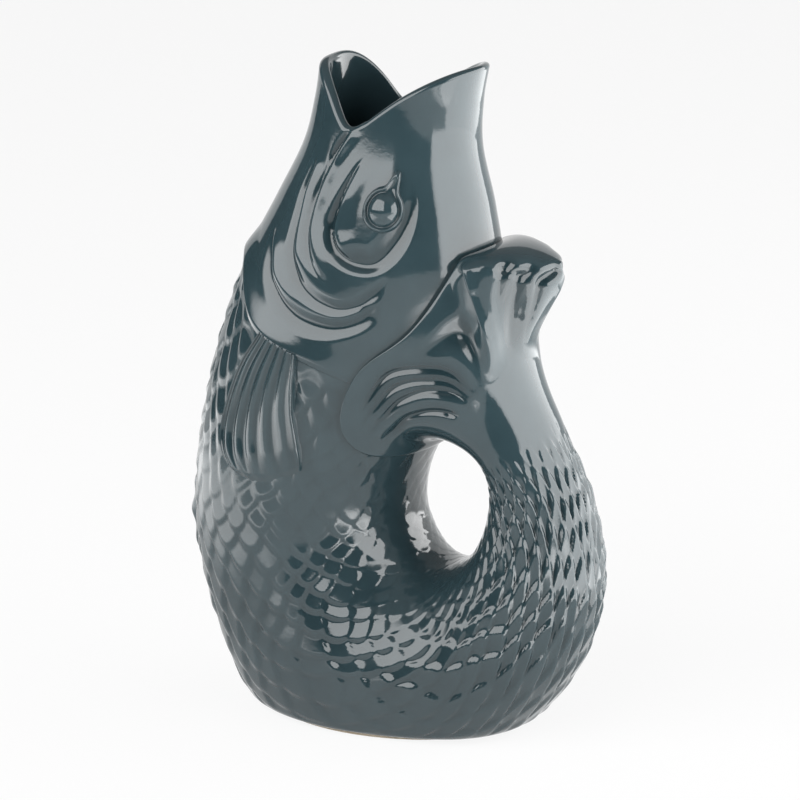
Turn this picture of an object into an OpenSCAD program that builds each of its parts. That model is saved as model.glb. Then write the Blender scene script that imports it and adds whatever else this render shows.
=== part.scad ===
// Fish-shaped gurgle jug: a leaping fish cast as one hollow vessel.
// The mouth pours, the tail bends round to the back of the head and is the handle,
// and the air held in the hollow tail gurgles through the belly when the jug is tipped.
// The body follows one bent line from the mouth, down the belly, under the finger gap and up the tail.
// A place on the skin is a station along that line and an angle round it: 0 is the back, 180 the belly.

/* [Overall] */
// Height from the table to the tip of the lip
jug_height = 300; // [220:1:380]
// Length from the breast to the bend of the tail
jug_length = 195; // [150:1:240]
// Width across the flanks
jug_width = 105; // [85:1:130]

/* [Walls and seams] */
// Thickness of the cast wall
wall = 4.5; // [3:0.5:6.5]
// Hairline left between pieces that seat on each other
seam = 0.3; // [0.2:0.05:0.5]

/* [Scales] */
// Number of scales round the body
scales_round = 28; // [22:2:32]
// Rows of scales from the gill line to the root of the tail
scale_rows = 26; // [20:2:30]
// How deep the hollows between the scales are
scale_depth = 1.2; // [0.4:0.1:1.8]

/* [Head] */
// How far the corners of the mouth lie below the lip
mouth_dip = 25; // [16:1:34]
// How far the gill cover stands proud of the breast
gill_step = 2; // [1:0.25:3.5]
// Diameter of an eyeball
eye_diameter = 17; // [12:0.5:20]
// How far an eyeball bulges from the cheek
eye_bulge = 4; // [2:0.25:6]
// Width of the rim round an eyeball
eye_rim_width = 3; // [2:0.25:4]
// Height of the rim round an eyeball
eye_rim_height = 1.8; // [1:0.1:3]

/* [Fins] */
// Thickness of a pectoral fin where it leaves the gill cover
pectoral_rise = 2.6; // [1.5:0.1:4]
// Depth of the grooves between the pectoral rays
pectoral_groove = 0.7; // [0.3:0.1:1.2]
// How far the belly fin stands off the belly
belly_fin_rise = 11; // [5:0.5:15]
// Thickness of the belly fin at its root
belly_fin_root = 9; // [5:0.5:14]

/* [Tail] */
// How far the thumb rest stands off the back of the head
thumb_reach = 34; // [24:1:42]
// Thickness of the tail's edge where it lies on the flank
tail_edge = 2.6; // [1.5:0.1:4]
// Depth of the flutes on the tail
flute_depth = 1; // [0.4:0.1:1.6]
// Depth of the hollow between the two lobes of the tail
fork_depth = 3; // [1:0.5:5]

/* [Foot] */
// Height of the unglazed foot ring
foot_height = 2; // [1:0.5:4]
// Length of the foot ring
foot_length = 120; // [90:1:124]
// Width of the foot ring
foot_width = 91; // [70:1:92]
// How far the ring's centre lies behind the middle of the jug's length
foot_shift = 4; // [0:0.5:8]
// Width of the ring's bearing face
foot_band = 9; // [6:0.5:14]
// Rounding of the body's bottom edge
base_round = 6; // [3:0.5:10]

/* [Hidden] */

glaze = "#3f5058";
glaze_light = "#52646b";
bisque = "#d9cdb8";

// Sections along the body, in shares of length and height: belly x, belly z, back x, back z,
// then half width as a share of half the jug's width, squareness of the belly half and of the
// back half (2 is round), and how much fuller the section is towards its back
section_shares = [
    [-0.149, 1.000, 0.237, 1.000, 0.60, 2.50, 2.0, 0],
    [-0.165, 0.943, 0.221, 0.943, 0.62, 2.30, 2.0, 0],
    [-0.196, 0.875, 0.218, 0.872, 0.68, 2.10, 2.0, 0],
    [-0.266, 0.790, 0.250, 0.780, 0.79, 2.00, 2.0, 0],
    [-0.342, 0.696, 0.268, 0.686, 0.88, 2.10, 2.0, 0],
    [-0.404, 0.588, 0.242, 0.574, 0.93, 2.10, 2.0, 0],
    [-0.446, 0.480, 0.164, 0.473, 0.96, 2.10, 2.0, 0],
    [-0.469, 0.372, 0.091, 0.389, 0.98, 2.10, 2.0, 0],
    [-0.467, 0.257, 0.070, 0.321, 1.00, 2.10, 2.0, 0],
    [-0.415, 0.128, 0.091, 0.277, 1.00, 2.25, 2.0, 0],
    [-0.301, -0.006, 0.127, 0.250, 1.00, 2.35, 2.0, 0],
    [-0.060, -0.085, 0.169, 0.243, 1.00, 2.60, 2.0, 0],
    [0.252, -0.050, 0.211, 0.257, 0.95, 2.45, 2.0, 0],
    [0.445, 0.068, 0.244, 0.284, 0.83, 2.30, 2.0, 0.02],
    [0.528, 0.216, 0.268, 0.328, 0.66, 2.15, 2.0, 0.12],
    [0.502, 0.358, 0.273, 0.375, 0.55, 2.05, 2.0, 0.18],
    [0.424, 0.466, 0.252, 0.412, 0.53, 2.05, 2.0, 0.22],
    [0.362, 0.557, 0.195, 0.436, 0.58, 2.20, 2.2, 0.22],
    [0.362, 0.635, 0.106, 0.446, 0.70, 2.30, 2.3, 0.24]
];

// Stations where the pieces part: tail from body, fan from tail
tail_station_share = 13.5;
fan_station_share = 17.2;

// Rows over which the scales come up behind the gill line, and rows of the stalk
scale_start_rows = 2;
stalk_rows = 10;
// Share of the stalk on which the scales run out, and share of their depth left along the back
scale_run_out_share = 0.8;
scale_back_share = 0.5;

// Station of the gill line at even steps in degrees, from the belly to the back
gill_line_shares = [3.96, 4.04, 4.80, 5.13, 5.40, 5.50, 5.50];
gill_line_step = 30;
// Where the gill cover fades into the cheek, in degrees from the belly
gill_fade_start = 80;
gill_fade_end = 112;
// How much of the head's length the gill cover takes to rise
gill_rise_share = 0.12;

// Rays of the tail at even steps in degrees, from the roof of the finger gap to the outer spine:
// station and angle where the ray ends on the body, reach off the body as a share of the thumb
// rest's, pull of the start, then the heading of the end in shares of length, width and height
ray_shares = [
    [6.55,  0, 0.00, 1.0, -0.08, 0.00, -0.03],
    [6.60, 31, 0.00, 1.2, -0.10, 0.08, -0.07],
    [6.45, 52, 0.00, 1.8, -0.13, 0.06, -0.13],
    [5.95, 67, 0.00, 2.0, -0.17, 0.06, -0.12],
    [5.15, 69, 0.00, 1.8, -0.18, 0.13, -0.01],
    [4.55, 52, 0.00, 1.6, -0.11, 0.06, 0.06],
    [3.62, 33, 0.05, 1.9, -0.09, -0.06, 0.10],
    [3.50, 24, 0.48, 1.9, -0.05, -0.08, 0.10],
    [3.64, 12, 0.82, 1.6, -0.01, -0.03, 0.12],
    [3.78,  0, 1.00, 1.5, 0.04, 0.00, 0.12]
];
ray_step = 20;
// Length of a ray over which its heading at the stalk is taken, as a share of a station
ray_heading_share = 0.04;
// Flutes round the tail, and where the two lobes part
flute_count = 24;
fork_angle = 108;
fork_spread = 14;
// Shares of the fan's length over which the flutes rise, and over which flutes and fork run out
flute_rise_share = 0.5;
flute_fade_share = 0.17;
fork_fade_share = 0.33;
// Rise of the thumb rest's top between its two edges, in stations
crown_share = 0.1;
// Share of the fan's length that the tail's hollow reaches into it
fan_hollow_share = 0.14;

// Left and right edges of a pectoral fin, as angles at even steps from its root to its end
pectoral_front_shares = [244, 236, 237, 247];
pectoral_rear_shares = [267, 269, 274, 287];
// Stations of the fin's root at the front and the rear, and of its end
pectoral_front_root_share = 4.95;
pectoral_rear_root_share = 5.20;
pectoral_end_station_share = 6.72;
pectoral_bow_share = 0.34;
pectoral_rays = 7;
facets_per_ray = 3;
// Shares of a fin's thickness left at its end and at its edges, and of its width taken by an edge
pectoral_tip_share = 0.25;
fin_edge_share = 0.3;
fin_rim_share = 0.25;

// Stations between which the belly fin runs, and its waves
belly_fin_start_share = 7.05;
belly_fin_end_share = 9.05;
belly_fin_waves = 5;
belly_fin_roundness = 0.5;
belly_fin_wave_share = 0.07;
// The fin's profile from one foot over the crest to the other: share of its half width, share of its rise
belly_fin_profile_shares = [[-1, 0], [-0.5, 0.6], [0, 1], [0.5, 0.6], [1, 0]];

// Centre of an eye on the cheek
eye_station_share = 2.8;
eye_angle = 290;
// Rings of an eye from its centre: share of its radius, share of the bulge, share of the rim height
eye_ring_shares = [[0, 1, 0], [0.30, 0.93, 0], [0.55, 0.72, 0], [0.70, 0.45, 0], [0.76, 0.16, 0],
                   [0.81, 0, 0.75], [0.88, 0, 1], [0.95, 0, 0.75], [1, 0, 0.2]];
// Rings of its underside, which lies on the cheek
eye_seat_shares = [1, 0.5];

// Corner of the mouth between the lip and the upper jaw, as the cosine of its angle
mouth_corner_share = -0.2;
mouth_curve = 1.4;
mouth_blend = 5;

// Facets: angles round the body, the fan, an eye and the foot, and strips across the fan's seat
body_angles = 2 * scales_round;
fan_angles = 96;
fan_across = 6;
eye_turns = 20;
foot_turns = 56;
// Smallest share that still has a power
least_share = 0.001;

mouth_station_length = (section_shares[0][1] - section_shares[2][1]) * jug_height / 2;
cheek_station_length = (section_shares[2][1] - section_shares[4][1]) * jug_height / 2;
gill_station_length = (section_shares[4][1] - section_shares[6][1]) * jug_height / 2;
lip_radius = wall / 2;

function signed_power(value, power) = sign(value) * pow(abs(value), power);
function ease(value) = let (v = min(max(value, 0), 1)) v * v * (3 - 2 * v);

// Smooth curve through the rows of a table; ends run on straight
function row(table, i) =
    i < 0 ? 2 * table[0] - table[-i]
    : i >= len(table) ? 2 * table[len(table) - 1] - table[2 * len(table) - 2 - i]
    : table[i];
function curve(table, place) =
    let (i = min(max(floor(place), 0), len(table) - 2),
         f = place - i,
         a = row(table, i - 1),
         b = row(table, i),
         c = row(table, i + 1),
         d = row(table, i + 2))
    b + 0.5 * f * ((c - a) + f * ((2 * a - 5 * b + 4 * c - d) + f * (3 * b - a - 3 * c + d)));

// A height held above a floor, with a rounded edge where it meets the floor
function above(z, floor_z) =
    let (d = z - floor_z)
    d >= base_round ? z : d <= -base_round ? floor_z : floor_z + pow(d + base_round, 2) / (4 * base_round);

// A point at a station and an angle, moved out of the skin by grow; the base cuts the belly flat
function skin(station, angle, grow = 0) =
    let (s = curve(section_shares, station),
         belly = [s[0] * jug_length, s[1] * jug_height],
         back = [s[2] * jug_length, s[3] * jug_height],
         arm = (back - belly) / 2,
         power = 2 / (cos(angle) < 0 ? s[5] : s[6]),
         along = signed_power(cos(angle), power),
         across = signed_power(sin(angle), power),
         place = (belly + back) / 2 + arm * (1 + grow / norm(arm)) * along,
         half_width = s[4] * jug_width / 2 + grow)
    [place[0], half_width * across * (1 + s[7] * along), above(place[1], foot_height - min(grow, 0))];

// Angle from the belly, 0 to 180 on either side
function from_belly(angle) = abs(180 - angle);

// Station of the mouth's rim: high at the lip and the jaw, low at the corners
function mouth_station(angle) =
    let (c = cos(angle),
         lip = pow(max((1 + c) / (1 + mouth_corner_share), least_share), mouth_curve),
         jaw = pow(max((1 - c) / (1 - mouth_corner_share), least_share), mouth_curve),
         dip = pow(pow(lip, -mouth_blend) + pow(jaw, -mouth_blend), -1 / mouth_blend))
    dip * mouth_dip / mouth_station_length;
function gill_station(angle) = curve(gill_line_shares, from_belly(angle) / gill_line_step);
function gill_height(angle) =
    gill_step * (1 - ease((from_belly(angle) - gill_fade_start) / (gill_fade_end - gill_fade_start)));

// Faces of rings joined in a closed loop, as on a tube with a wall
function quad(a, b, c, d) = [[a, b, c], [a, c, d]];
function loop_faces(rings, n) = [
    for (i = [0 : rings - 1], j = [0 : n - 1], face = quad(
        i * n + j,
        i * n + (j + 1) % n,
        ((i + 1) % rings) * n + (j + 1) % n,
        ((i + 1) % rings) * n + j)) face
];
module loop_shell(rings) {
    polyhedron([for (ring = rings, point = ring) point], loop_faces(len(rings), len(rings[0])));
}
function ring_angles(n) = [for (j = [0 : n - 1]) 360 * j / n];

// Scales in staggered rows: tips lie on the skin, the hollows between them are sunk
function scale_sink(row, column) = (row + column) % 2 == 0 ? -scale_depth : 0;
function scale_point(station, row, column, strength) =
    let (angle = 360 * column / body_angles,
         clear = skin(station, angle)[2] - foot_height,
         along_back = 1 - (1 - scale_back_share) * max(cos(angle), 0))
    skin(station, angle, scale_sink(row, column) * strength * along_back * ease(clear / base_round - 1));

// A patch of a grid of places on the skin: a top raised by height and an underside on the seam
function patch_faces(rows, columns) =
    let (n = rows * columns)
    concat(
        [for (i = [0 : rows - 2], j = [0 : columns - 2], face = concat(
            quad(i * columns + j, i * columns + j + 1, (i + 1) * columns + j + 1, (i + 1) * columns + j),
            quad(n + i * columns + j, n + (i + 1) * columns + j, n + (i + 1) * columns + j + 1,
                 n + i * columns + j + 1))) face],
        [for (i = [0 : rows - 2], face = concat(
            quad(i * columns, (i + 1) * columns, n + (i + 1) * columns, n + i * columns),
            quad(i * columns + columns - 1, n + i * columns + columns - 1,
                 n + (i + 1) * columns + columns - 1, (i + 1) * columns + columns - 1))) face],
        [for (j = [0 : columns - 2], face = concat(
            quad(j, n + j, n + j + 1, j + 1),
            quad((rows - 1) * columns + j, (rows - 1) * columns + j + 1,
                 n + (rows - 1) * columns + j + 1, n + (rows - 1) * columns + j))) face]);
module skin_patch(places) {
    columns = len(places[0]);
    polyhedron(
        concat([for (line = places, p = line) skin(p[0], p[1], p[2])],
               [for (line = places, p = line) skin(p[0], p[1], seam)]),
        patch_faces(len(places), columns));
}

// Head: from the rounded lip to the gill cover, which stands proud of the breast
function head_ring(share, grow, gill_share) = [
    for (angle = ring_angles(body_angles))
        let (rim = mouth_station(angle) + lip_radius / mouth_station_length)
        skin(rim + (gill_station(angle) - rim) * share, angle, grow + gill_share * gill_height(angle))
];
function lip_ring(turn) = [
    for (angle = ring_angles(body_angles))
        skin(mouth_station(angle) + lip_radius * (1 - sin(turn)) / mouth_station_length,
             angle, -lip_radius * (1 - cos(turn)))
];
module head_shell() {
    outer_rows = 13;
    inner_rows = 4;
    lip_rows = 4;
    color(glaze) loop_shell(concat(
        [for (i = [0 : outer_rows]) let (share = i / outer_rows)
            head_ring(share, 0, ease((share - 1 + gill_rise_share) / gill_rise_share))],
        [for (i = [0 : inner_rows]) head_ring(1 - i / inner_rows, -wall, 0)],
        [for (i = [1 : lip_rows - 1]) lip_ring(180 - 180 * i / lip_rows)]));
}

// Body: from the gill line down round the belly and up to the root of the tail
function body_station(share, angle) =
    let (start = gill_station(angle) + seam / gill_station_length)
    start + (tail_station_share - start) * share;
function body_ring(row) = [
    for (j = [0 : body_angles - 1])
        scale_point(body_station(row / scale_rows, 360 * j / body_angles), row, j,
                    ease(row / scale_start_rows))
];
function body_hollow_ring(share) = [
    for (angle = ring_angles(body_angles)) skin(body_station(share, angle), angle, -wall)
];
module body_shell() {
    inner_rows = 8;
    color(glaze) loop_shell(concat(
        [for (i = [0 : scale_rows]) body_ring(i)],
        [for (i = [0 : inner_rows]) body_hollow_ring(1 - i / inner_rows)]));
}

// Tail handle: the hollow stalk that the hand closes round, with the last scales running out on it
function stalk_station(share) = tail_station_share + (fan_station_share - tail_station_share) * share;
function stalk_ring(row) = [
    for (j = [0 : body_angles - 1])
        scale_point(stalk_station(row / stalk_rows), scale_rows + row, j,
                    1 - ease(row / stalk_rows / scale_run_out_share))
];
function stalk_hollow_ring(share) = [
    for (angle = ring_angles(body_angles)) skin(stalk_station(share), angle, -wall)
];
module tail_handle() {
    inner_rows = 4;
    color(glaze) loop_shell(concat(
        [for (i = [0 : stalk_rows]) stalk_ring(i)],
        [for (i = [0 : inner_rows]) stalk_hollow_ring(1 - i / inner_rows)]));
}

// Tail fan: rays that spring from the stalk and end on the body, or stand free as the thumb rest
function fold(angle) = angle > 180 ? 360 - angle : angle;
function side(angle) = angle > 180 ? -1 : 1;
function ray_reach(ray) = max(tail_edge, ray[2] * thumb_reach);
function flute(angle, share) =
    let (a = fold(angle),
         fork = exp(-pow((a - fork_angle) / fork_spread, 2)))
    ease(share / flute_rise_share)
        * (flute_depth * (1 - fork) * cos(flute_count * a) * ease((1 - share) / flute_fade_share)
        - fork_depth * fork * ease((1 - share) / fork_fade_share));
function ray_curve(angle, share) =
    let (ray = curve(ray_shares, fold(angle) / ray_step),
         start = skin(fan_station_share, angle),
         heading = (start - skin(fan_station_share - ray[3] * ray_heading_share, angle)) / ray_heading_share,
         end = skin(ray[0], side(angle) * ray[1], ray_reach(ray)),
         arrival = [ray[4] * jug_length, side(angle) * ray[5] * jug_width, ray[6] * jug_height],
         s = share,
         r = 1 - share)
    start * r * r * (1 + 2 * s) + heading * s * r * r + end * s * s * (3 - 2 * s) - arrival * s * s * r;
function fan_axis(share) = (ray_curve(0, share) + ray_curve(180, share)) / 2;
function fan_ring(share) = [
    for (angle = ring_angles(fan_angles))
        let (point = ray_curve(angle, share),
             out = point - fan_axis(share))
        point + out / norm(out) * flute(angle, share)
];
function fan_hollow_ring(share) = [
    for (angle = ring_angles(fan_angles))
        let (point = ray_curve(angle, share),
             out = point - fan_axis(share))
        point - out / norm(out) * wall
];
// Points from one side of a ray pair to the other, lying on the body or crowning the thumb rest
function seat_drop(ray) = (tail_edge - seam) * max(0, 1 - (ray_reach(ray) - tail_edge) / tail_edge);
function seat_row(angle) =
    let (ray = curve(ray_shares, angle / ray_step))
    [for (k = [1 : fan_across - 1]) let (turn = 2 * k / fan_across - 1)
        skin(ray[0] - crown_share * (1 - turn * turn), -turn * ray[1], ray_reach(ray) - seat_drop(ray))];
module tail_fin() {
    outer_rows = 10;
    hollow_rows = 2;
    n = fan_angles;
    half = n / 2;
    outer = [for (i = [0 : outer_rows]) fan_ring(i / outer_rows)];
    hollow = [for (i = [0 : hollow_rows]) fan_hollow_ring(fan_hollow_share * i / hollow_rows)];
    seats = [for (j = [1 : half - 1]) seat_row(360 * j / n)];
    edge = outer_rows * n;
    hollow_first = edge + n;
    hollow_last = hollow_first + hollow_rows * n;
    hollow_end = hollow_last + n;
    seat_first = hollow_end + 1;
    inner_count = fan_across - 1;
    // Index of the k-th point across the seat at the j-th ray pair; the ends are the rays themselves
    function seat_point(j, k) =
        k == 0 ? edge + j : k == fan_across ? edge + (n - j) % n : seat_first + (j - 1) * inner_count + k - 1;
    points = concat([for (ring = outer, p = ring) p], [for (ring = hollow, p = ring) p],
                    [fan_axis(fan_hollow_share)], [for (line = seats, p = line) p]);
    faces = concat(
        [for (i = [0 : outer_rows - 1], j = [0 : n - 1], face = quad(
            i * n + j, i * n + (j + 1) % n, (i + 1) * n + (j + 1) % n, (i + 1) * n + j)) face],
        [for (i = [0 : hollow_rows - 1], j = [0 : n - 1], face = quad(
            hollow_first + i * n + j, hollow_first + (i + 1) * n + j,
            hollow_first + (i + 1) * n + (j + 1) % n, hollow_first + i * n + (j + 1) % n)) face],
        [for (j = [0 : n - 1]) [hollow_last + j, hollow_end, hollow_last + (j + 1) % n]],
        [for (j = [0 : n - 1], face = quad(
            j, hollow_first + j, hollow_first + (j + 1) % n, (j + 1) % n)) face],
        [for (k = [0 : fan_across - 1]) [edge, seat_point(1, k), seat_point(1, k + 1)]],
        [for (j = [1 : half - 2], k = [0 : fan_across - 1], face = quad(
            seat_point(j, k), seat_point(j + 1, k), seat_point(j + 1, k + 1), seat_point(j, k + 1))) face],
        [for (k = [0 : fan_across - 1]) [edge + half, seat_point(half - 1, k + 1), seat_point(half - 1, k)]]);
    color(glaze_light) polyhedron(points, faces);
}

// Pectoral fin: a fluted blade that lies on the flank behind the gill cover
function pectoral_place(across, along) =
    let (front = curve(pectoral_front_shares, along * (len(pectoral_front_shares) - 1)),
         rear = curve(pectoral_rear_shares, along * (len(pectoral_rear_shares) - 1)),
         root = pectoral_front_root_share + (pectoral_rear_root_share - pectoral_front_root_share) * across,
         end = pectoral_end_station_share + pectoral_bow_share * sin(180 * across),
         rim = ease(across / fin_rim_share) * ease((1 - across) / fin_rim_share),
         blade = pectoral_rise * (1 - (1 - pectoral_tip_share) * along * along),
         groove = pectoral_groove * rim * (1 - along) * (cos(360 * pectoral_rays * across) - 1) / 2)
    [root + (end - root) * along, front + (rear - front) * across,
     seam + blade * (fin_edge_share + (1 - fin_edge_share) * rim) + groove];
module pectoral_fin() {
    columns = pectoral_rays * facets_per_ray;
    rows = 8;
    color(glaze_light) skin_patch([for (i = [0 : rows]) [
        for (j = [0 : columns]) pectoral_place(j / columns, i / rows)]]);
}
module pectoral_fin_left() {
    pectoral_fin();
}
module pectoral_fin_right() {
    mirror([0, 1, 0]) pectoral_fin();
}

// Belly fin: a thin wavy keel down the middle of the belly
function belly_fin_height(along) =
    belly_fin_rise * pow(max(sin(180 * along), least_share), belly_fin_roundness)
        * (1 + belly_fin_wave_share * cos(360 * belly_fin_waves * along));
function belly_fin_place(profile, along) =
    [belly_fin_start_share + (belly_fin_end_share - belly_fin_start_share) * along,
     180 + profile[0] * asin(min(1, belly_fin_root / jug_width)),
     seam * 2 + profile[1] * belly_fin_height(along)];
module belly_fin() {
    rows = 16;
    color(glaze_light) skin_patch([for (i = [0 : rows]) [
        for (profile = belly_fin_profile_shares) belly_fin_place(profile, i / rows)]]);
}

// Eye: a ball in a raised rim on the cheek
eye_radius = eye_diameter / 2 + eye_rim_width;
function eye_point(share, turn, grow) =
    let (cheek = curve(section_shares, eye_station_share),
         cheek_girth = PI * (norm([(cheek[2] - cheek[0]) * jug_length, (cheek[3] - cheek[1]) * jug_height])
             + cheek[4] * jug_width) / 2,
         reach = share * eye_radius)
    skin(eye_station_share + reach * sin(turn) / cheek_station_length,
         eye_angle + 360 * reach * cos(turn) / cheek_girth, grow);
module eye() {
    rings = len(eye_ring_shares);
    turns = ring_angles(eye_turns);
    points = concat(
        [eye_point(0, 0, seam + eye_bulge)],
        [for (i = [1 : rings - 1], turn = turns) let (ring = eye_ring_shares[i])
            eye_point(ring[0], turn, 2 * seam + ring[1] * eye_bulge + ring[2] * eye_rim_height)],
        [for (share = eye_seat_shares, turn = turns) eye_point(share, turn, seam)],
        [eye_point(0, 0, seam)]);
    ring_count = rings - 1 + len(eye_seat_shares);
    last = ring_count * eye_turns + 1;
    faces = concat(
        [for (j = [0 : eye_turns - 1]) [0, 1 + j, 1 + (j + 1) % eye_turns]],
        [for (i = [0 : ring_count - 2], j = [0 : eye_turns - 1], face = quad(
            1 + i * eye_turns + j, 1 + (i + 1) * eye_turns + j,
            1 + (i + 1) * eye_turns + (j + 1) % eye_turns, 1 + i * eye_turns + (j + 1) % eye_turns)) face],
        [for (j = [0 : eye_turns - 1]) [last - eye_turns + j, last, last - eye_turns + (j + 1) % eye_turns]]);
    color(glaze_light) polyhedron(points, faces);
}
module eye_left() {
    eye();
}
module eye_right() {
    mirror([0, 1, 0]) eye();
}

// Foot ring: the oval bearing face, wiped clean of glaze before firing
module oval(length, width) {
    polygon([for (turn = ring_angles(foot_turns)) [length / 2 * cos(turn), width / 2 * sin(turn)]]);
}
module foot_ring() {
    color(bisque) translate([foot_shift, 0, 0]) linear_extrude(foot_height) difference() {
        oval(foot_length, foot_width);
        oval(foot_length - 2 * foot_band, foot_width - 2 * foot_band);
    }
}

head_shell();
body_shell();
tail_handle();
tail_fin();
pectoral_fin_left();
pectoral_fin_right();
belly_fin();
eye_left();
eye_right();
foot_ring();
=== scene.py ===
import math

import bpy
import numpy as np
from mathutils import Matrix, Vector


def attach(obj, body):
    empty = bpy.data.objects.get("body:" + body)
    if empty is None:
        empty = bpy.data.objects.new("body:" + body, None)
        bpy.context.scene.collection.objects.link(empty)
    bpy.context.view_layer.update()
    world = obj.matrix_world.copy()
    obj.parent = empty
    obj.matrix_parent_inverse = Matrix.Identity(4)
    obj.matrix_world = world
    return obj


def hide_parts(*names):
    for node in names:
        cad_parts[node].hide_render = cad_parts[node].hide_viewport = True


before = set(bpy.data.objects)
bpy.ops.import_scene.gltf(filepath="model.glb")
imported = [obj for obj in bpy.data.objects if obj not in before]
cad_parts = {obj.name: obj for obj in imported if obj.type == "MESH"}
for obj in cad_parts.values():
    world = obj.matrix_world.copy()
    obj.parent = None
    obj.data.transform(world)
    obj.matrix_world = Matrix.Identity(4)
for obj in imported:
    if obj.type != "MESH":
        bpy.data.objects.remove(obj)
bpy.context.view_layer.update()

# Body and tail: breast, belly, the bow under the finger gap and the tail that comes back to the head.
# They are one wall of slip-cast earthenware, bent round a line from the mouth to the tail; a place on
# it is a station along that line and an angle round it, 0 degrees on the back and 180 on the belly.
jug_height, jug_length, jug_width = 0.300, 0.195, 0.105
wall = 0.0045
foot_height = 0.002
base_round = 0.006
# Belly x and z, back x and z, half width, squareness of the belly half and of the back half, fullness
section_shares = np.array([
    [-0.149, 1.000, 0.237, 1.000, 0.60, 2.50, 2.0, 0],
    [-0.165, 0.943, 0.221, 0.943, 0.62, 2.30, 2.0, 0],
    [-0.196, 0.875, 0.218, 0.872, 0.68, 2.10, 2.0, 0],
    [-0.266, 0.790, 0.250, 0.780, 0.79, 2.00, 2.0, 0],
    [-0.342, 0.696, 0.268, 0.686, 0.88, 2.10, 2.0, 0],
    [-0.404, 0.588, 0.242, 0.574, 0.93, 2.10, 2.0, 0],
    [-0.446, 0.480, 0.164, 0.473, 0.96, 2.10, 2.0, 0],
    [-0.469, 0.372, 0.091, 0.389, 0.98, 2.10, 2.0, 0],
    [-0.467, 0.257, 0.070, 0.321, 1.00, 2.10, 2.0, 0],
    [-0.415, 0.128, 0.091, 0.277, 1.00, 2.25, 2.0, 0],
    [-0.301, -0.006, 0.127, 0.250, 1.00, 2.35, 2.0, 0],
    [-0.060, -0.085, 0.169, 0.243, 1.00, 2.60, 2.0, 0],
    [0.252, -0.050, 0.211, 0.257, 0.95, 2.45, 2.0, 0],
    [0.445, 0.068, 0.244, 0.284, 0.83, 2.30, 2.0, 0.02],
    [0.528, 0.216, 0.268, 0.328, 0.66, 2.15, 2.0, 0.12],
    [0.502, 0.358, 0.273, 0.375, 0.55, 2.05, 2.0, 0.18],
    [0.424, 0.466, 0.252, 0.412, 0.53, 2.05, 2.0, 0.22],
    [0.362, 0.557, 0.195, 0.436, 0.58, 2.20, 2.2, 0.22],
    [0.362, 0.635, 0.106, 0.446, 0.70, 2.30, 2.3, 0.24],
])
tail_station, fan_station = 13.5, 17.2


def ease(value):
    """A smooth rise from 0 to 1."""
    v = np.clip(value, 0, 1)
    return v * v * (3 - 2 * v)


def curve(table, place):
    """A smooth curve through the rows of a table; its ends run on straight."""
    table = np.asarray(table, float)
    rows = np.concatenate([[2 * table[0] - table[1]], table, [2 * table[-1] - table[-2]]])
    i = np.clip(np.floor(place).astype(int), 0, len(table) - 2)
    f = np.asarray(place - i)
    if table.ndim > 1:
        f = f[..., None]
    a, b, c, d = rows[i], rows[i + 1], rows[i + 2], rows[i + 3]
    return b + 0.5 * f * ((c - a) + f * ((2 * a - 5 * b + 4 * c - d) + f * (3 * b - a - 3 * c + d)))


def skin(station, angle, grow=0.0):
    """Points at stations and angles, moved out of the wall's outside by grow; the base is cut flat."""
    station, angle, grow = np.broadcast_arrays(*(np.asarray(v, float) for v in (station, angle, grow)))
    s = curve(section_shares, station)
    size = np.array([jug_length, jug_height])
    belly, back = s[..., 0:2] * size, s[..., 2:4] * size
    arm = (back - belly) / 2
    cosine, sine = np.cos(np.radians(angle)), np.sin(np.radians(angle))
    power = 2 / np.where(cosine < 0, s[..., 5], s[..., 6])
    along = np.sign(cosine) * np.abs(cosine) ** power
    across = np.sign(sine) * np.abs(sine) ** power
    length = 1 + grow / np.linalg.norm(arm, axis=-1)
    place = (belly + back) / 2 + arm * (length * along)[..., None]
    floor = foot_height - np.minimum(grow, 0)
    above = place[..., 1] - floor
    rounded = np.clip(above + base_round, 0, 2 * base_round) ** 2 / (4 * base_round)
    z = floor + np.where(above > base_round, above, rounded)
    y = (s[..., 4] * jug_width / 2 + grow) * across * (1 + s[..., 7] * along)
    return np.stack([place[..., 0], y, z], -1)


def unit(vectors):
    """Vectors brought to length 1."""
    return vectors / np.maximum(np.linalg.norm(vectors, axis=-1, keepdims=True), 1e-12)


def outward(station, angle):
    """Unit normals of the skin, pointing out of the jug."""
    station_step, angle_step = 0.02, 0.5
    along = skin(station + station_step, angle) - skin(station - station_step, angle)
    around = skin(station, angle + angle_step) - skin(station, angle - angle_step)
    return unit(np.cross(along, around))


# Line of the gill cover's edge, every 30 degrees from the belly
gill_line_shares = [3.96, 4.04, 4.80, 5.13, 5.40, 5.50, 5.50]
gill_line_step = 30


def gill_station(angle):
    """Station of the gill cover's edge."""
    return curve(gill_line_shares, np.abs(180 - angle) / gill_line_step)


# Rays of the tail every 20 degrees from the roof of the finger gap to the outer spine: station and angle
# where the ray ends, reach off the body, pull of the start, and heading of the end in x, y and z
ray_shares = np.array([
    [6.55, 0, 0.00, 1.0, -0.08, 0.00, -0.03],
    [6.60, 31, 0.00, 1.2, -0.10, 0.08, -0.07],
    [6.45, 52, 0.00, 1.8, -0.13, 0.06, -0.13],
    [5.95, 67, 0.00, 2.0, -0.17, 0.06, -0.12],
    [5.15, 69, 0.00, 1.8, -0.18, 0.13, -0.01],
    [4.55, 52, 0.00, 1.6, -0.11, 0.06, 0.06],
    [3.62, 33, 0.05, 1.9, -0.09, -0.06, 0.10],
    [3.50, 24, 0.48, 1.9, -0.05, -0.08, 0.10],
    [3.64, 12, 0.82, 1.6, -0.01, -0.03, 0.12],
    [3.78, 0, 1.00, 1.5, 0.04, 0.00, 0.12],
])
ray_step = 20
ray_heading_share = 0.04
thumb_reach = 0.034
tail_edge = 0.0026
crown_share = 0.1


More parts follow.
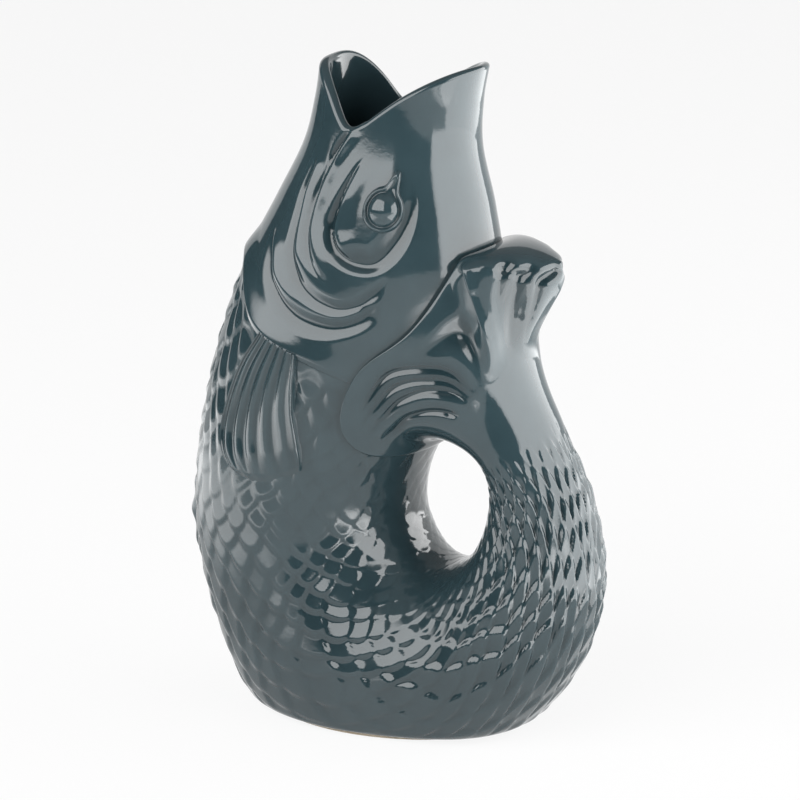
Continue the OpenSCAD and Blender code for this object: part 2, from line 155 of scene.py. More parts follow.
def fold(angle):
    """Angle from the back, 0 to 180, on either side."""
    return np.where(angle > 180, 360 - angle, angle)


def ray(angle, share):
    """Points of the tail's rays, from the stalk at share 0 to their ends on the body at share 1."""
    side = np.where(angle > 180, -1.0, 1.0)
    row = curve(ray_shares, fold(angle) / ray_step)
    start = skin(fan_station, angle)
    before = skin(fan_station - row[..., 3] * ray_heading_share, angle)
    heading = (start - before) / ray_heading_share
    end = skin(row[..., 0], side * row[..., 1], np.maximum(tail_edge, row[..., 2] * thumb_reach))
    arrival = np.stack([row[..., 4] * jug_length, side * row[..., 5] * jug_width, row[..., 6] * jug_height], -1)
    s = np.asarray(share)[..., None]
    r = 1 - s
    return start * r * r * (1 + 2 * s) + heading * s * r * r + end * s * s * (3 - 2 * s) - arrival * s * s * r


def grid_faces(rows, columns, first=0):
    """Quads between rings of points, each ring closed."""
    i, j = np.meshgrid(np.arange(rows - 1), np.arange(columns), indexing="ij")
    k = (j + 1) % columns
    quads = np.stack([i * columns + j, (i + 1) * columns + j, (i + 1) * columns + k, i * columns + k], -1)
    return first + quads.reshape(-1, 4)


def make_mesh(name, points, faces, attributes, material=None):
    """A smooth mesh from points, faces and values kept on its points."""
    mesh = bpy.data.meshes.new(name)
    mesh.from_pydata(points.tolist(), [], [f for block in faces for f in block.tolist()])
    mesh.polygons.foreach_set("use_smooth", [True] * len(mesh.polygons))
    for key, values in attributes.items():
        vector = values.ndim > 1
        layer = mesh.attributes.new(key, "FLOAT_VECTOR" if vector else "FLOAT", "POINT")
        layer.data.foreach_set("vector" if vector else "value", np.ascontiguousarray(values, np.float32).ravel())
    if material:
        mesh.materials.append(material)
    mesh.update()
    return mesh


def add_object(name, data):
    """Puts a mesh, a lamp or a camera in the scene."""
    item = bpy.data.objects.new(name, data)
    bpy.context.scene.collection.objects.link(item)
    return item


# Scales: their count round the body, their rows from the gill line to the tail and on the tail's stalk
scales_round, scale_rows, stalk_rows = 28, 26, 10
points_per_scale = 10
columns = scales_round * points_per_scale
angles = np.arange(columns) * 360 / columns

# The wall starts a little way under the gill cover and comes up to its edge
tuck, tuck_depth = 0.25, 0.0016
gill_line = gill_station(angles)
body_steps, stalk_steps = 264, 96
share = np.linspace(0, 1, body_steps, endpoint=False)[:, None]
body_stations = gill_line - tuck + (tail_station - gill_line + tuck) * share
body_rows = scale_rows * (body_stations - gill_line) / (tail_station - gill_line)
share = np.linspace(0, 1, stalk_steps, endpoint=False)[:, None]
stalk_stations = np.broadcast_to(tail_station + (fan_station - tail_station) * share, (stalk_steps, columns))
station_grid = np.concatenate([body_stations, stalk_stations])
row_grid = np.concatenate([body_rows, np.broadcast_to(scale_rows + stalk_rows * share, (stalk_steps, columns))])
stalk_rings = body_steps + stalk_steps
bared = ease((station_grid - gill_line + tuck) / tuck)
stalk_points = skin(station_grid, angles, -tuck_depth * (1 - bared))
stalk_out = outward(station_grid, angles)

# Rays of the tail go on from the stalk's last ring
fan_steps = 110
share_grid, fan_angle_grid = np.meshgrid(np.linspace(0, 1, fan_steps), angles, indexing="ij")
fan_points = ray(fan_angle_grid, share_grid)

# Grooves of the lower lobe sweep over the finger gap; those of the upper lobe deepen to its curled end.
# Each is a line of shares along the ray and angles from the roof of the finger gap; an upper one opens to a
# deep notch from a share on.
lower_grooves = [
    [(0.77, 57), (0.73, 69), (0.71, 84), (0.56, 94), (0.41, 99), (0.10, 102)],
    [(0.84, 48), (0.66, 62), (0.60, 78), (0.48, 89), (0.34, 95), (0.07, 98)],
    [(0.87, 40), (0.59, 55), (0.50, 72), (0.41, 84), (0.28, 91), (0.05, 95)],
    [(0.87, 33), (0.53, 44), (0.37, 62), (0.26, 73), (0.12, 80), (0.02, 82)],
]
upper_grooves = [
    (0.95, [(0.66, 127), (0.46, 125), (0.29, 125), (0.17, 126), (0.03, 129)]),
    (0.76, [(1.00, 147), (0.83, 143), (0.71, 141), (0.52, 138), (0.33, 138), (0.10, 142)]),
    (0.64, [(1.00, 158), (0.85, 153), (0.70, 151), (0.45, 149), (0.23, 150), (0.09, 154)]),
    (0.56, [(1.00, 174), (0.91, 168), (0.80, 164), (0.55, 164), (0.32, 165), (0.17, 168), (0.02, 174)]),
]
fork_line = [(0.85, 101), (0.78, 103), (0.56, 111), (0.36, 115), (0.09, 122)]


def beside(points, line):
    """Distance of points on either side of the jug to a line on the tail, and how far along it they lie, 0 to 1."""
    table = np.array(line, float)
    dense = curve(table, np.linspace(0, len(table) - 1, 40))
    path = ray(360 - dense[:, 1], dense[:, 0])
    near = points * np.where(points[..., 1:2] > 0, (1, -1, 1), 1)
    best, place = np.full(points.shape[:-1], np.inf), np.zeros(points.shape[:-1])
    for i in range(len(path) - 1):
        step = path[i + 1] - path[i]
        f = np.clip(((near - path[i]) @ step) / (step @ step), 0, 1)
        far = np.linalg.norm(near - path[i] - f[..., None] * step, axis=-1)
        closer = far < best
        best = np.where(closer, far, best)
        place = np.where(closer, (i + f) / (len(path) - 1), place)
    return best, place


# The seat closes the fan: it dives under the body's skin, and crowns the thumb rest where the lobe stands free
across_steps = 40
half = columns // 2
pair_angles = angles[1:half]
pair_rows = curve(ray_shares, pair_angles / ray_step)
turn = 1 - 2 * np.arange(1, across_steps) / across_steps
reach = np.maximum(tail_edge, pair_rows[:, 2] * thumb_reach)
dive_depth = 0.004
dive = dive_depth * np.maximum(0, 1 - (reach - tail_edge) / tail_edge)
seat_stations = pair_rows[:, 0:1] - crown_share * (1 - turn ** 2)
seat_points = skin(seat_stations, turn * pair_rows[:, 1:2], (reach - dive)[:, None])

outer = np.concatenate([stalk_points.reshape(-1, 3), fan_points.reshape(-1, 3)])
rings = stalk_rings + fan_steps
fan_edge = (rings - 1) * columns
seat_first = len(outer)


def seat_index(j, k):
    """Number of the seat's point on a pair of rays j, k steps across; its borders are the fan's last ring."""
    inner = seat_first + (j - 1) * (across_steps - 1) + k - 1
    return np.where(k == 0, fan_edge + j, np.where(k == across_steps, fan_edge + (columns - j) % columns, inner))


j, k = np.meshgrid(np.arange(1, half - 1), np.arange(across_steps), indexing="ij")
seat_corners = [seat_index(j, k), seat_index(j, k + 1), seat_index(j + 1, k + 1), seat_index(j + 1, k)]
seat_quads = np.stack(seat_corners, -1).reshape(-1, 4)
k = np.arange(across_steps)
low_end = np.stack([np.full_like(k, fan_edge), seat_index(1, k + 1), seat_index(1, k)], -1)
high_end = np.stack([np.full_like(k, fan_edge + half), seat_index(half - 1, k), seat_index(half - 1, k + 1)], -1)
points = np.concatenate([outer, seat_points.reshape(-1, 3)])


def soften(points, quads, weight, rounds):
    """Rounds edges: each point moves towards the mean of its neighbours as far as its weight says."""
    quads = quads[(weight[quads] > 0).any(1)]
    pairs = np.concatenate([quads[:, (0, 1)], quads[:, (1, 2)], quads[:, (2, 3)], quads[:, (3, 0)]])
    start, stop = np.concatenate([pairs, pairs[:, ::-1]]).T
    count = np.maximum(np.bincount(start, minlength=len(points)), 1)
    for _ in range(rounds):
        total = np.stack([np.bincount(start, points[stop, axis], len(points)) for axis in range(3)], -1)
        points = points + weight[:, None] * (total / count[:, None] - points)
    return points


# The upper lobe flows out of the stalk without a crease
quads = np.concatenate([grid_faces(rings, columns), seat_quads])
joint_weight, joint_rounds = 0.8, 400
joint = np.concatenate([ease((stalk_stations - 16.2) / 0.9), 1 - ease((share_grid - 0.08) / 0.42)])
joint *= ease((fold(angles) - 100) / 25)
weight = np.zeros(len(points))
weight[body_steps * columns:seat_first] = joint_weight * joint.ravel()
points = soften(points, quads, weight, joint_rounds)

# The fan's rim is rounded as glaze rounds it, and more so where the upper lobe curls over at the thumb rest,
# though less at the spine's tip
rim_weight, rim_rounds, curl_rounds = 0.7, 10, 140
upper_from, upper_fade = 128, 24
fan_first = stalk_rings * columns
upper_lobe = ease((fold(fan_angle_grid) - upper_from) / upper_fade)
spine_tip = ease((fold(fan_angle_grid) - 160) / 15)
at_rim = ease((share_grid - 0.93 + 0.16 * upper_lobe) / (0.06 + 0.14 * upper_lobe))
weight = np.zeros(len(points))
weight[fan_first:seat_first] = rim_weight * at_rim.ravel()
weight[seat_first:] = rim_weight
points = soften(points, quads, weight, rim_rounds)
weight[fan_first:seat_first] *= (upper_lobe * (1 - 0.6 * spine_tip)).ravel()
weight[seat_first:] = (rim_weight * ease((pair_angles - upper_from) / upper_fade)).repeat(across_steps - 1)
points = soften(points, quads, weight, curl_rounds)

# Grooves are pressed in along the normals of the rounded fan
corner = points[quads]
across_quad = np.cross(corner[:, 2] - corner[:, 0], corner[:, 3] - corner[:, 1])
fan_out = np.stack([np.bincount(quads.ravel(), across_quad[:, axis].repeat(4), len(points)) for axis in range(3)], -1)
fan_out = unit(fan_out)[fan_first:]
fan_points = points[fan_first:]
fan_share = np.concatenate([share_grid.ravel(), np.ones(len(points) - seat_first)])
fan_fold = np.concatenate([fold(fan_angle_grid).ravel(), pair_angles.repeat(across_steps - 1)])
fan_relief = np.zeros(len(fan_points))


def bell(far, width):
    """A bell curve across a line, 1 on the line itself."""
    return np.exp(-(far / width) ** 2)


# A lower groove is a fine line in a soft hollow
line_deep, line_wide, hollow_deep, hollow_wide = 0.0008, 0.0012, 0.0012, 0.0030
for line in lower_grooves:
    far, place = beside(fan_points, line)
    groove = line_deep * bell(far, line_wide) + hollow_deep * bell(far, hollow_wide)
    fan_relief -= groove * ease(place / 0.3) * ease((1 - place) / 0.25)

# An upper groove deepens along the lobe and again, more widely, in its notch
upper_deep, curl_deep, notch_deep = 0.0002, 0.0006, 0.0022
upper_wide, notch_wide = 0.0020, 0.0012
for notch, line in upper_grooves:
    far, place = beside(fan_points, line)
    opening = ease((fan_share - notch) / (1 - notch))
    deep = upper_deep + curl_deep * ease((fan_share - 0.3) / 0.4) + notch_deep * opening
    fan_relief -= deep * bell(far, upper_wide + notch_wide * opening) * ease((1 - place) / 0.3)

# The upper lobe swells beside the fork and hollows behind the swelling: millimetres from an angle on, in steps
lobe_swell = [0, 0.2, 5.5, 3.5, 0.5, -2.0, -2.2, -1.0, 0, 0]
swell_from, swell_step = 107, 8
swell = curve(lobe_swell, np.clip((fan_fold - swell_from) / swell_step, 0, len(lobe_swell) - 1)) / 1000
fan_relief += swell * ease((fan_share - 0.05) / 0.4) * (1 - ease((fan_share - 0.85) / 0.15))

# The fork between the lobes spreads towards the head and fades before it
fork_deep, fork_wide, fork_spread = 0.0030, 0.003, 0.009
far, place = beside(fan_points, fork_line)
fork = fork_deep * bell(far, fork_wide + fork_spread * fan_share ** 2)
fan_relief -= fork * (1 - ease((fan_share - 0.5) / 0.3)) * ease((1 - place) / 0.5)
points[fan_first:] += fan_out * fan_relief[:, None]

# How strongly the scales are carved: with the local row's length, and less at the gill line, on the stalk,
# near the foot, beside the finger gap and on the flanks
full_row = 0.0099
row_length = np.linalg.norm(np.gradient(stalk_points, axis=0), axis=-1)
row_length /= np.maximum(np.gradient(row_grid, axis=0), 1e-9)
level, off_gap = stalk_points[..., 2], fold(angles)
amount = np.clip(row_length / full_row, 0.35, 1.25) * (1 - ease((station_grid - 15.1) / 1.1))
amount *= ease(row_grid / 0.8) * ease((level - foot_height) / 0.006) * (0.55 + 0.45 * ease((level - 0.015) / 0.035))
amount *= 0.3 + 0.7 * ease((off_gap - 20) / 45)
amount *= 0.65 + 0.7 * np.maximum(ease((station_grid - 7) / 3), ease((off_gap - 130) / 40))
pad = np.zeros(len(points) - amount.size)

# Modelled by hand, the scales wander a little out of their rows
around = np.radians(angles)
row_wander = 0.14 * np.sin(5 * around + 1.1 * row_grid) + 0.08 * np.sin(11 * around - 0.7 * row_grid)
column_wander = 0.12 * np.sin(3 * around + 0.9 * row_grid) + 0.08 * np.sin(7 * around - 1.7 * row_grid)
scale_row = row_grid + row_wander * ease(row_grid / 2)
scale_column = around / (2 * np.pi) * scales_round + column_wander
groove_shade = 0.0012
cast = make_mesh("cast_body", points, [quads, low_end, high_end], {
    "scale_row": np.concatenate([scale_row.ravel(), pad]),
    "scale_column": np.concatenate([scale_column.ravel(), pad]),
    "scale_amount": np.concatenate([amount.ravel(), pad]),
    "out": np.concatenate([stalk_out.reshape(-1, 3), fan_out]),
    "groove": np.concatenate([np.zeros(amount.size), fan_relief / groove_shade]),
})
cast_object = add_object("cast_body", cast)

# Glaze: glossy blue-grey, darker where it pools in the hollows and paler where it runs thin on the crests
pooled = bpy.data.node_groups.new("pooled glaze", "ShaderNodeTree")
for name, kind, value in (
        ("Relief", "Float", 0.0), ("Pool colour", "Color", (0.012, 0.025, 0.030, 1)),
        ("Crest colour", "Color", (0.027, 0.048, 0.056, 1)), ("Cloud scale", "Float", 45.0),
        ("Ripple scale", "Float", 420.0), ("Ripple depth", "Float", 0.00002)):
    pooled.interface.new_socket(name, in_out="INPUT", socket_type="NodeSocket" + kind).default_value = value
for name, kind in (("Color", "Color"), ("Roughness", "Float"), ("Normal", "Vector")):
    pooled.interface.new_socket(name, in_out="OUTPUT", socket_type="NodeSocket" + kind)
link = pooled.links.new
pool_in, pool_out = pooled.nodes.new("NodeGroupInput"), pooled.nodes.new("NodeGroupOutput")


def noise(group, scale, detail):
    """Noise over the object's own coordinates at a scale given by a socket."""
    node, coordinates = group.nodes.new("ShaderNodeTexNoise"), group.nodes.new("ShaderNodeTexCoord")
    node.inputs["Detail"].default_value = detail
    group.links.new(coordinates.outputs["Object"], node.inputs["Vector"])
    group.links.new(scale, node.inputs["Scale"])
    return node.outputs["Fac"]


def remap(group, value, low, high, to_low, to_high):
    """A value carried from one range to another."""
    node = group.nodes.new("ShaderNodeMapRange")
    group.links.new(value, node.inputs["Value"])
    for place, number in enumerate((low, high, to_low, to_high), 1):
        node.inputs[place].default_value = number
    return node.outputs["Result"]


clouds = noise(pooled, pool_in.outputs["Cloud scale"], 4)
thin = pooled.nodes.new("ShaderNodeMath")
thin.operation = "ADD"
thin.use_clamp = True
link(remap(pooled, pool_in.outputs["Relief"], -1.1, 0.2, 0, 0.8), thin.inputs[0])
link(remap(pooled, clouds, 0.3, 0.7, -0.15, 0.25), thin.inputs[1])
tone = pooled.nodes.new("ShaderNodeMix")
tone.data_type = "RGBA"
link(thin.outputs[0], tone.inputs["Factor"])
link(pool_in.outputs["Pool colour"], tone.inputs[6])
link(pool_in.outputs["Crest colour"], tone.inputs[7])
link(tone.outputs[2], pool_out.inputs["Color"])
link(remap(pooled, clouds, 0.3, 0.7, 0.06, 0.10), pool_out.inputs["Roughness"])
ripple = pooled.nodes.new("ShaderNodeBump")
link(noise(pooled, pool_in.outputs["Ripple scale"], 2), ripple.inputs["Height"])
link(pool_in.outputs["Ripple depth"], ripple.inputs["Distance"])
link(ripple.outputs["Normal"], pool_out.inputs["Normal"])


def new_material(name):
    """A material, with its nodes, the call that links them and its shader."""
    material = bpy.data.materials.new(name)
    material.use_nodes = True
    nodes = material.node_tree.nodes
    return material, nodes, material.node_tree.links.new, nodes["Principled BSDF"]


glaze, nodes, link, shader = new_material("glaze")
shader.inputs["IOR"].default_value = 1.65
coating = nodes.new("ShaderNodeGroup")
coating.node_tree = pooled
hollow = nodes.new("ShaderNodeAttribute")
hollow.attribute_name = "relief"
link(hollow.outputs["Fac"], coating.inputs["Relief"])
for here, there in (("Color", "Base Color"), ("Roughness", "Roughness"), ("Normal", "Normal")):
    link(coating.outputs[here], shader.inputs[there])

# Tree that carves the scales: each row's rounded free edges lie over the next row towards the tail
tree = bpy.data.node_groups.new("carve scales", "GeometryNodeTree")
tree.interface.new_socket("Geometry", in_out="INPUT", socket_type="NodeSocketGeometry")
scale_sizes = {"Rise": 0.0027, "Edge bulge": 0.8, "Edge softness": 0.45, "Tilt": 0.72, "Side fall": 0.25}
scale_inputs = {}
for name, value in scale_sizes.items():
    socket = tree.interface.new_socket(name, in_out="INPUT", socket_type="NodeSocketFloat")
    scale_inputs[socket.identifier] = value
socket = tree.interface.new_socket("Glaze", in_out="INPUT", socket_type="NodeSocketMaterial")
scale_inputs[socket.identifier] = glaze
tree.interface.new_socket("Geometry", in_out="OUTPUT", socket_type="NodeSocketGeometry")
group_in = tree.nodes.new("NodeGroupInput")
group_out = tree.nodes.new("NodeGroupOutput")


def work(operation, *values):
    """A math node of the scale tree; its values are numbers or other nodes' outputs."""
    node = tree.nodes.new("ShaderNodeMath")
    node.operation = operation
    for place, value in enumerate(values):
        if isinstance(value, (int, float)):
            node.inputs[place].default_value = value
        else:
            tree.links.new(value, node.inputs[place])
    return node.outputs[0]


def point_value(name, kind="FLOAT"):
    """A value kept on the cast's points."""
    node = tree.nodes.new("GeometryNodeInputNamedAttribute")
    node.data_type = kind
    node.inputs["Name"].default_value = name
    return node.outputs["Attribute"]


def smooth_rise(value, width):
    """A smooth rise from 0 to 1 over a width given by a socket."""
    node = tree.nodes.new("ShaderNodeMapRange")
    node.interpolation_type = "SMOOTHSTEP"
    tree.links.new(value, node.inputs["Value"])
    tree.links.new(width, node.inputs["From Max"])
    return node.outputs["Result"]


row, column = point_value("scale_row"), point_value("scale_column")
bulge = group_in.outputs["Edge bulge"]
row_floor = work("FLOOR", row)


def scale_back(rows_back):
    """How far a point lies before the free edge of the scale that many rows back, and how high that scale is there."""
    scale = work("SUBTRACT", row_floor, rows_back)
    stagger = work("MULTIPLY", work("FLOORED_MODULO", scale, 2), 0.5)
    offset = work("SUBTRACT", work("FRACT", work("ADD", column, stagger)), 0.5)
    side = work("MULTIPLY", work("MULTIPLY", offset, offset), 4)
    reach = work("MULTIPLY", bulge, work("SUBTRACT", 1, side))
    before = work("SUBTRACT", work("ADD", work("ADD", scale, 1), reach), row)
    sunk = work("MULTIPLY", group_in.outputs["Tilt"], work("DIVIDE", before, work("ADD", 1, bulge)))
    fallen = work("MULTIPLY", group_in.outputs["Side fall"], side)
    return before, work("SUBTRACT", work("SUBTRACT", 1, sunk), fallen)


def overlap(level, lower, before):
    """The upper of two scales, falling to the lower one at its free edge."""
    edge = smooth_rise(before, group_in.outputs["Edge softness"])
    return work("ADD", lower, work("MULTIPLY", work("SUBTRACT", level, lower), edge))


own_before, own = scale_back(0)
upper_before, upper = scale_back(1)
_, lower = scale_back(-1)
lift = overlap(upper, overlap(own, lower, own_before), upper_before)
buried_share = 0.8
carve = work("MULTIPLY", work("SUBTRACT", lift, buried_share), point_value("scale_amount"))
height = work("MULTIPLY", carve, group_in.outputs["Rise"])
pooling = work("ADD", carve, point_value("groove"))
link = tree.links.new
offset = tree.nodes.new("ShaderNodeVectorMath")
offset.operation = "SCALE"
link(point_value("out", "FLOAT_VECTOR"), offset.inputs[0])
link(height, offset.inputs["Scale"])
steps, last = {}, group_in
for kind in ("StoreNamedAttribute", "SetPosition", "RealizeInstances", "SetMaterial"):
    steps[kind] = tree.nodes.new("GeometryNode" + kind)
    link(last.outputs["Geometry"], steps[kind].inputs["Geometry"])
    last = steps[kind]
link(last.outputs["Geometry"], group_out.inputs["Geometry"])
steps["StoreNamedAttribute"].inputs["Name"].default_value = "relief"
link(pooling, steps["StoreNamedAttribute"].inputs["Value"])
link(offset.outputs["Vector"], steps["SetPosition"].inputs["Offset"])
link(group_in.outputs["Glaze"], steps["SetMaterial"].inputs["Material"])

carving = cast_object.modifiers.new("carve scales", "NODES")
carving.node_group = tree
for identifier, value in scale_inputs.items():
    carving[identifier] = value
carved = bpy.data.meshes.new_from_object(cast_object.evaluated_get(bpy.context.evaluated_depsgraph_get()))
bpy.data.objects.remove(cast_object)


def add_piece(name, mesh, nodes):
    """Puts a finished mesh in the scene, riding on the jug in place of its solids."""
    piece = add_object(name, mesh)
    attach(piece, "root")
    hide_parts(*nodes)


# The cast is cut at the tail's root into two pieces; the cut carries the normals of the whole, so no line shows
whole_points = np.empty(len(points) * 3)
carved.vertices.foreach_get("co", whole_points)
whole_points = whole_points.reshape(-1, 3)
whole_normals = np.array([n.vector for n in carved.vertex_normals])
relief = np.empty(len(points))
carved.attributes["relief"].data.foreach_get("value", relief)


def cast_piece(name, chosen, outer_rings, more, inner, nodes):
    """A closed piece: rings of the outside, the inside wall, and the bands that join them at both ends."""
    ring = outer_rings[0] * columns + np.arange((outer_rings[1] - outer_rings[0]) * columns)
    kept = np.concatenate([ring, more])
    number = np.full(len(points), -1)
    number[kept] = np.arange(len(kept))
    faces = [number[block] for block in chosen]
    closed = len(more) > 0
    inside = np.concatenate([inner.reshape(-1, 3), inner[-1].mean(0, keepdims=True)[:closed]])
    first = len(kept)
    faces.append(grid_faces(len(inner), half, first)[:, ::-1])
    joins = [(outer_rings[0], 0, -1)]
    if closed:
        last = first + (len(inner) - 1) * half + np.arange(half)
        faces.append(np.stack([last, np.roll(last, -1), np.full(half, first + len(inside) - 1)], -1))
    else:
        joins.append((outer_rings[1] - 1, len(inner) - 1, 1))
    for outside_ring, inside_ring, way in joins:
        o = number[outside_ring * columns + np.arange(columns)]
        i = first + inside_ring * half + np.arange(half)
        o0, o1, o2 = o[0::2], o[1::2], np.roll(o, -2)[0::2]
        i1 = np.roll(i, -1)
        band = np.concatenate([np.stack([o0, i, o1], -1), np.stack([o1, i1, o2], -1), np.stack([o1, i, i1], -1)])
        faces.append(band[:, ::way])
    mesh = make_mesh(name, np.concatenate([whole_points[kept], inside]), faces,
                     {"relief": np.concatenate([relief[kept], np.zeros(len(inside))])}, glaze)
    normals = np.array([n.vector for n in mesh.vertex_normals])
    normals[:first] = whole_normals[kept]
    mesh.normals_split_custom_set_from_vertices(normals.tolist())
    add_piece(name, mesh, nodes)


body_inner_rings, tail_inner_rings, stalk_end = 48, 20, 0.2
inner_angles = angles[::2]
inner_start = gill_station(inner_angles) - tuck
share = np.linspace(0, 1, body_inner_rings)[:, None]
body_inner = skin(inner_start + (tail_station - inner_start) * share, inner_angles, -wall)
body_faces = grid_faces(body_steps + 1, columns)
cast_piece("body", [body_faces], (0, body_steps + 1), np.zeros(0, int), body_inner, ["body_shell"])
share = np.linspace(0, 1, tail_inner_rings)[:, None]
tail_inner = skin(tail_station + (fan_station - stalk_end - tail_station) * share, inner_angles, -wall)
tail_faces = grid_faces(rings - body_steps, columns, body_steps * columns)
seat_numbers = np.arange(seat_first, len(points))
cast_piece("tail", [tail_faces, seat_quads, low_end, high_end], (body_steps, rings), seat_numbers, tail_inner,
           ["tail_handle", "tail_fin"])

# Head: from the rolled lip of the mouth to the gill cover, which stands proud of the breast.
# It is cast with the body; its folds are carved in the model and softened by the glaze.
mouth_dip = 0.031
mouth_corner, mouth_curve, mouth_blend = -0.2, 1.4, 5
mouth_station_length = (section_shares[0][1] - section_shares[2][1]) * jug_height / 2
gill_step = 0.0022
lip_radius = wall / 2


def mouth_station(angle):
    """Station of the mouth's rim: high at the lip and the jaw, low at the corners."""
    c = np.cos(np.radians(angle))
    lip = np.maximum((1 + c) / (1 + mouth_corner), 0.001) ** mouth_curve
    jaw = np.maximum((1 - c) / (1 - mouth_corner), 0.001) ** mouth_curve
    dip = (lip ** -mouth_blend + jaw ** -mouth_blend) ** (-1 / mouth_blend)
    return dip * mouth_dip / mouth_station_length


# Feet of the gill folds and of the eye socket, as stations and angles from the belly. Each fold rises
# steeply on the side of the eye and falls slowly to the next; beside its line the cheek dips towards it.
# Rise, its width and its fall; dip, its width outside and inside; ends of the rise and of the dip along the line
fold_lines = [
    ([(3.30, 46), (3.52, 48), (3.80, 54), (4.04, 59), (4.21, 65), (4.41, 74),
      (4.55, 84), (4.59, 96), (4.48, 106), (4.30, 111), (4.02, 116)],
     0.0024, 0.0030, 0.009, 0.0014, 0.0060, 0.004, (0.25, 0.62, 0.2), (0.25, 0.95, 0.1)),
    ([(2.12, 58), (2.29, 58), (2.69, 58), (3.01, 60), (3.36, 63), (3.66, 67), (3.91, 73),
      (4.15, 80), (4.30, 89), (4.34, 98), (4.22, 107), (3.95, 113), (3.70, 116)],
     0.0024, 0.0028, 0.008, 0.0014, 0.0040, 0.004, (0.18, 0.62, 0.2), (0.18, 0.95, 0.1)),
    ([(2.15, 70), (2.30, 70), (2.64, 69), (2.96, 69), (3.28, 71), (3.60, 76), (3.85, 82), (4.01, 88), (4.10, 95)],
     0.0021, 0.0026, 0.008, 0.0010, 0.0035, 0.003, (0.3, 0.9, 0.4), (0.3, 0.9, 0.4)),
    ([(2.00, 93), (2.19, 90), (2.55, 86), (2.87, 84), (3.19, 84), (3.45, 88), (3.61, 94), (3.69, 101),
      (3.67, 108), (3.49, 114), (3.23, 119), (2.92, 123), (2.65, 125), (2.43, 124), (2.2, 123)],
     0.0029, 0.0018, 0.010, 0.0024, 0.0050, 0.010, (0.2, 0.5, 0.15), (0.3, 0.97, 0.3)),
    ([(1.45, 82), (1.56, 80), (1.86, 75), (2.12, 72), (2.40, 71), (2.6, 69)],
     0.0015, 0.0024, 0.008, 0.0016, 0.0035, 0.003, (0.4, 0.95, 0.5), (0.4, 0.95, 0.5)),
]
# Length of a station and of a degree over the cheek
cheek_station, cheek_degree = 0.0285, 0.00082


def beside_fold(line, station, turn):
    """Distance to a fold line over the cheek, positive towards the eye, and how far along it the nearest place is."""
    table = np.array(line, float)
    path = curve(table, np.linspace(0, len(table) - 1, 6 * len(table))) * (cheek_station, cheek_degree)
    y, x = station * cheek_station, turn * cheek_degree
    best, side, place = np.full(y.shape, np.inf), np.zeros(y.shape), np.zeros(y.shape)
    for i in range(len(path) - 1):
        dy, dx = path[i + 1] - path[i]
        py, px = y - path[i, 0], x - path[i, 1]
        f = np.clip((py * dy + px * dx) / (dy * dy + dx * dx), 0, 1)
        far = np.hypot(py - f * dy, px - f * dx)
        closer = far < best
        best = np.where(closer, far, best)
        side = np.where(closer, np.sign(px * dy - py * dx), side)
        place = np.where(closer, (i + f) / (len(path) - 1), place)
    return best * side, place


def along_fold(place, ends):
    """Strength of a fold along its line: it rises from the start and falls to the stop."""
    start, stop, width = ends
    return ease(place / start) * ease((stop - place) / width)


def cheek_relief(station, angle):
    """How far the folds stand out of the head's plain skin."""
    turn = np.abs(180 - angle % 360)
    height = np.zeros(np.broadcast(station, angle).shape)
    for line, rise, width, fall, dip, outside, inside, rise_ends, dip_ends in fold_lines:
        far, place = beside_fold(line, station, turn)
        up = np.sin(np.pi / 2 * np.clip(far / width, 0, 1)) * (1 - ease(far / fall))
        strength = along_fold(place, dip_ends)
        thin = 0.25 + 0.75 * strength
        low = np.where(far > 0, 1 - ease(far / inside / thin), 1 - ease(-far / outside / thin))
        height += rise * up * along_fold(place, rise_ends) - dip * low * strength
    return height


head_columns = 360
head_angles = np.arange(head_columns) * 360 / head_columns
rim = mouth_station(head_angles) + lip_radius / mouth_station_length
gill = gill_station(head_angles)
gill_fade = 0.3 + 0.7 * (1 - ease((np.abs(180 - head_angles) - 70) / 40))
outer_rows, inner_rows, lip_rows = 180, 24, 8
share = np.linspace(0, 1, outer_rows + 1)[:, None]
head_stations = rim + (gill - rim) * share

# The gill cover swells to its edge and is rounded off there; a hem closes it against the breast
swell_width, edge_round, edge_width = 0.014, 0.0011, 0.0022
to_gill = (gill - head_stations) * cheek_station
gill_lift = gill_step * ease((swell_width - to_gill) / swell_width)
gill_lift -= edge_round * ease((edge_width - to_gill) / edge_width)
head_relief = cheek_relief(head_stations, head_angles)
lifted = (head_relief + gill_fade * gill_lift)[..., None]
head_points = skin(head_stations, head_angles) + outward(head_stations, head_angles) * lifted
hem_station, hem_depth = 0.02, 0.001
hem_points = skin(gill + hem_station, head_angles, -hem_depth)[None]
inner_points = skin(rim + (gill - rim) * np.linspace(1, 0, inner_rows + 1)[:, None], head_angles, -wall)
turns = np.radians(180 - 180 * np.arange(1, lip_rows) / lip_rows)[:, None]
lip_stations = mouth_station(head_angles) + lip_radius * (1 - np.sin(turns)) / mouth_station_length
lip_points = skin(lip_stations, head_angles, -lip_radius * (1 - np.cos(turns)))
head_rings = np.concatenate([inner_points, lip_points, head_points, hem_points])
ring_relief = np.zeros(head_rings.shape[:2])
ring_relief[inner_rows + lip_rows:-1] = head_relief
head_faces = grid_faces(len(head_rings), head_columns)
hem = (len(head_rings) - 1) * head_columns + np.arange(head_columns)
floor_ring = np.arange(head_columns)
closing = np.stack([hem, floor_ring, np.roll(floor_ring, -1), np.roll(hem, -1)], -1)
fold_shade = 0.0016
head_mesh = make_mesh("head", head_rings.reshape(-1, 3), [head_faces, closing],
                      {"relief": ring_relief.ravel() / fold_shade}, glaze)
add_piece("head", head_mesh, ["head_shell"])

